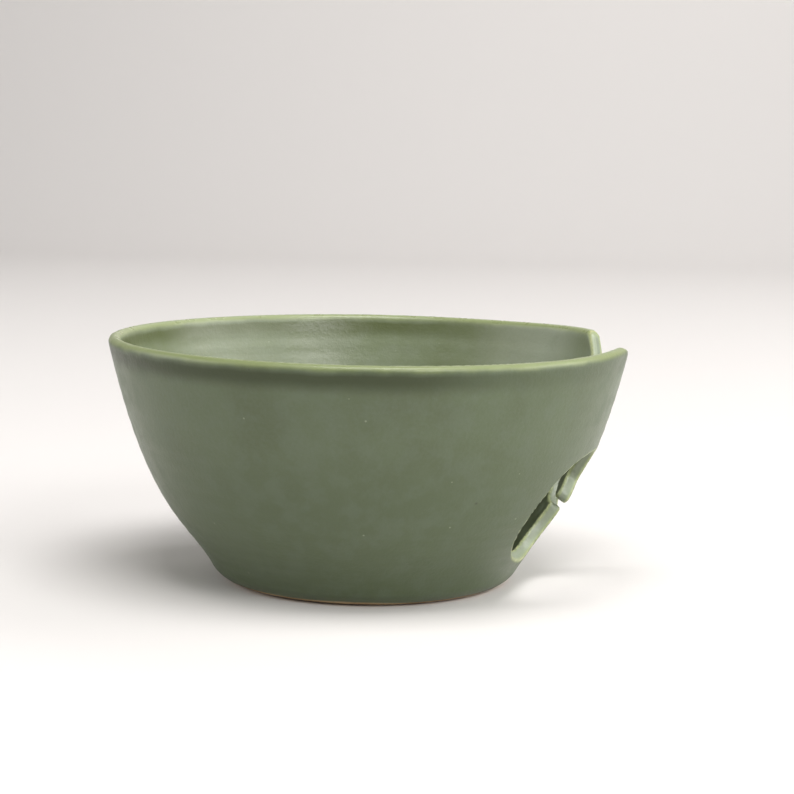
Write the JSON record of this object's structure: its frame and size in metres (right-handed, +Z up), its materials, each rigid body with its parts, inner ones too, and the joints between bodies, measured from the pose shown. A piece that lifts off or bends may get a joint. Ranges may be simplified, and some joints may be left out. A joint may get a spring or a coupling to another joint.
{
  "type": "yarn bowl",
  "caption": "Round stoneware yarn bowl with satin grey-green glaze, a flared rim, and a slot that curls under a hanging tongue into a large side eye.",
  "frame": {"origin": "centre of the bowl at the plane of its foot, which is the table's surface", "axes": "+Z up along the bowl's axis, +X through the side that has the slot and the eye, the eye lies on the -Y side of the slot"},
  "size_m": [0.1631, 0.164, 0.077],
  "materials": {
    "bare_clay": "unglazed tan stoneware, slightly rough",
    "outer_glaze": "satin grey-green glaze with faint mottling, throwing rings and specks, breaking lighter on edges",
    "inner_glaze": "the same satin grey-green glaze, a little smoother and glossier than the outside"
  },
  "bodies": {
    "root": {"clay_body": "bare_clay", "outer_glaze": "outer_glaze", "inner_glaze": "inner_glaze"}
  },
  "joints": []
}
